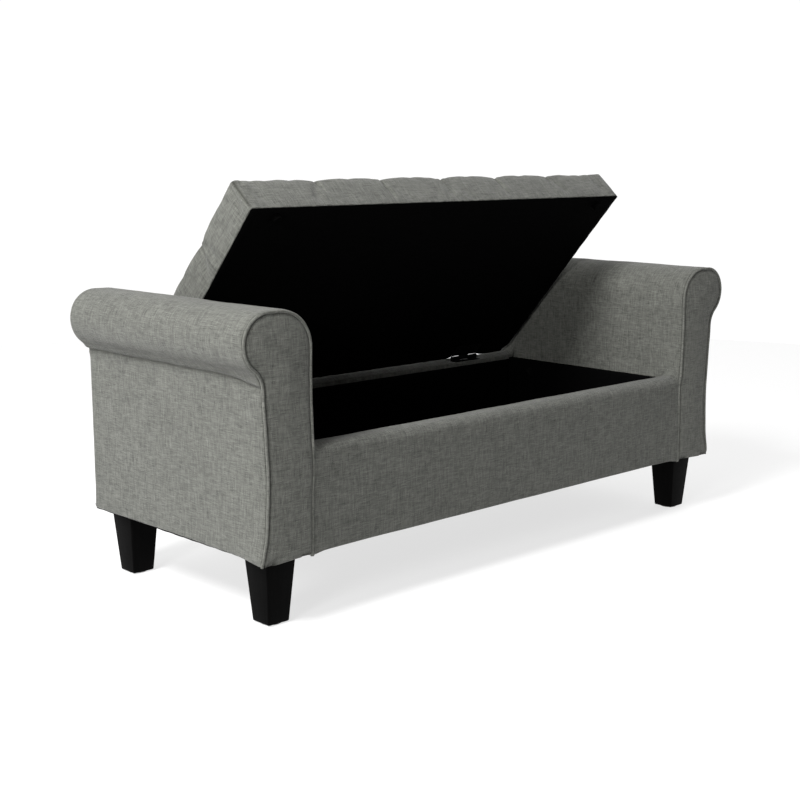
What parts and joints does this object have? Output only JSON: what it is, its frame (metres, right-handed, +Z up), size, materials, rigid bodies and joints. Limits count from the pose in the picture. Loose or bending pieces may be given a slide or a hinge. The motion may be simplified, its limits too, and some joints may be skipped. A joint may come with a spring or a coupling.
{
  "type": "storage bench",
  "caption": "Upholstered bench with rolled arms and a hinged, tufted lid over an open storage box, on tapered legs.",
  "frame": {"origin": "on the floor, at the middle of the outline with the lid open at its rest angle", "axes": "+X along the bench's length to the right seen from the front, +Y to the rear, +Z up; the front faces -Y"},
  "size_m": [1.276, 0.5316, 0.7058],
  "materials": {
    "timber": "matte",
    "foam": "matte",
    "grey_cloth": "matte",
    "piping_cloth": "matte",
    "black_cloth": "matte",
    "lining": "matte",
    "leg_black": "satin",
    "glide": "satin",
    "bumper": "matte",
    "hinge_black": "satin",
    "steel": "satin",
    "bolt_black": "satin"
  },
  "bodies": {
    "base": {"left_arm_front_board": "timber", "left_arm_back_board": "timber", "left_arm_base_board": "timber", "left_arm_rails": "timber", "left_arm_side_padding": "foam", "left_arm_roll_padding": "foam", "left_arm_cover": "grey_cloth", "left_arm_facing": "grey_cloth", "left_arm_piping": "piping_cloth", "left_arm_dust_cloth": "black_cloth", "right_arm_front_board": "timber", "right_arm_back_board": "timber", "right_arm_base_board": "timber", "right_arm_rails": "timber", "right_arm_side_padding": "foam", "right_arm_roll_padding": "foam", "right_arm_cover": "grey_cloth", "right_arm_facing": "grey_cloth", "right_arm_piping": "piping_cloth", "right_arm_dust_cloth": "black_cloth", "front_rail": "timber", "rear_rail": "timber", "left_side_board": "timber", "right_side_board": "timber", "front_rail_padding": "foam", "rear_rail_padding": "foam", "front_rail_cover": "grey_cloth", "rear_rail_cover": "grey_cloth", "front_lining": "lining", "rear_lining": "lining", "left_lining": "lining", "right_lining": "lining", "storage_floor": "lining", "floor_slats": "timber", "box_dust_cloth": "black_cloth", "arm_bolts": "bolt_black", "arm_bolt_washers": "steel", "arm_bolt_nuts": "steel", "front_left_leg": "leg_black", "front_right_leg": "leg_black", "rear_left_leg": "leg_black", "rear_right_leg": "leg_black", "leg_glides": "glide", "leg_bolts": "steel", "leg_nuts": "steel", "left_hinge_box_leaf": "hinge_black", "right_hinge_box_leaf": "hinge_black", "left_hinge_pin": "steel", "right_hinge_pin": "steel", "hinge_box_screws": "steel"},
    "lid": {"left_hinge_lid_leaf": "hinge_black", "right_hinge_lid_leaf": "hinge_black", "hinge_lid_screws": "steel", "lid_board": "timber", "lid_foam": "foam", "lid_cover": "grey_cloth", "lid_underside_cloth": "black_cloth", "lid_bumpers": "bumper"}
  },
  "joints": [
    {"name": "lid_hinge", "type": "hinge", "parent": "base", "child": "lid", "pos_m": [0, 0.21521, 0.3015], "axis": [-1, 0, 0], "range_deg": [-48.7, 36.3]}
  ]
}
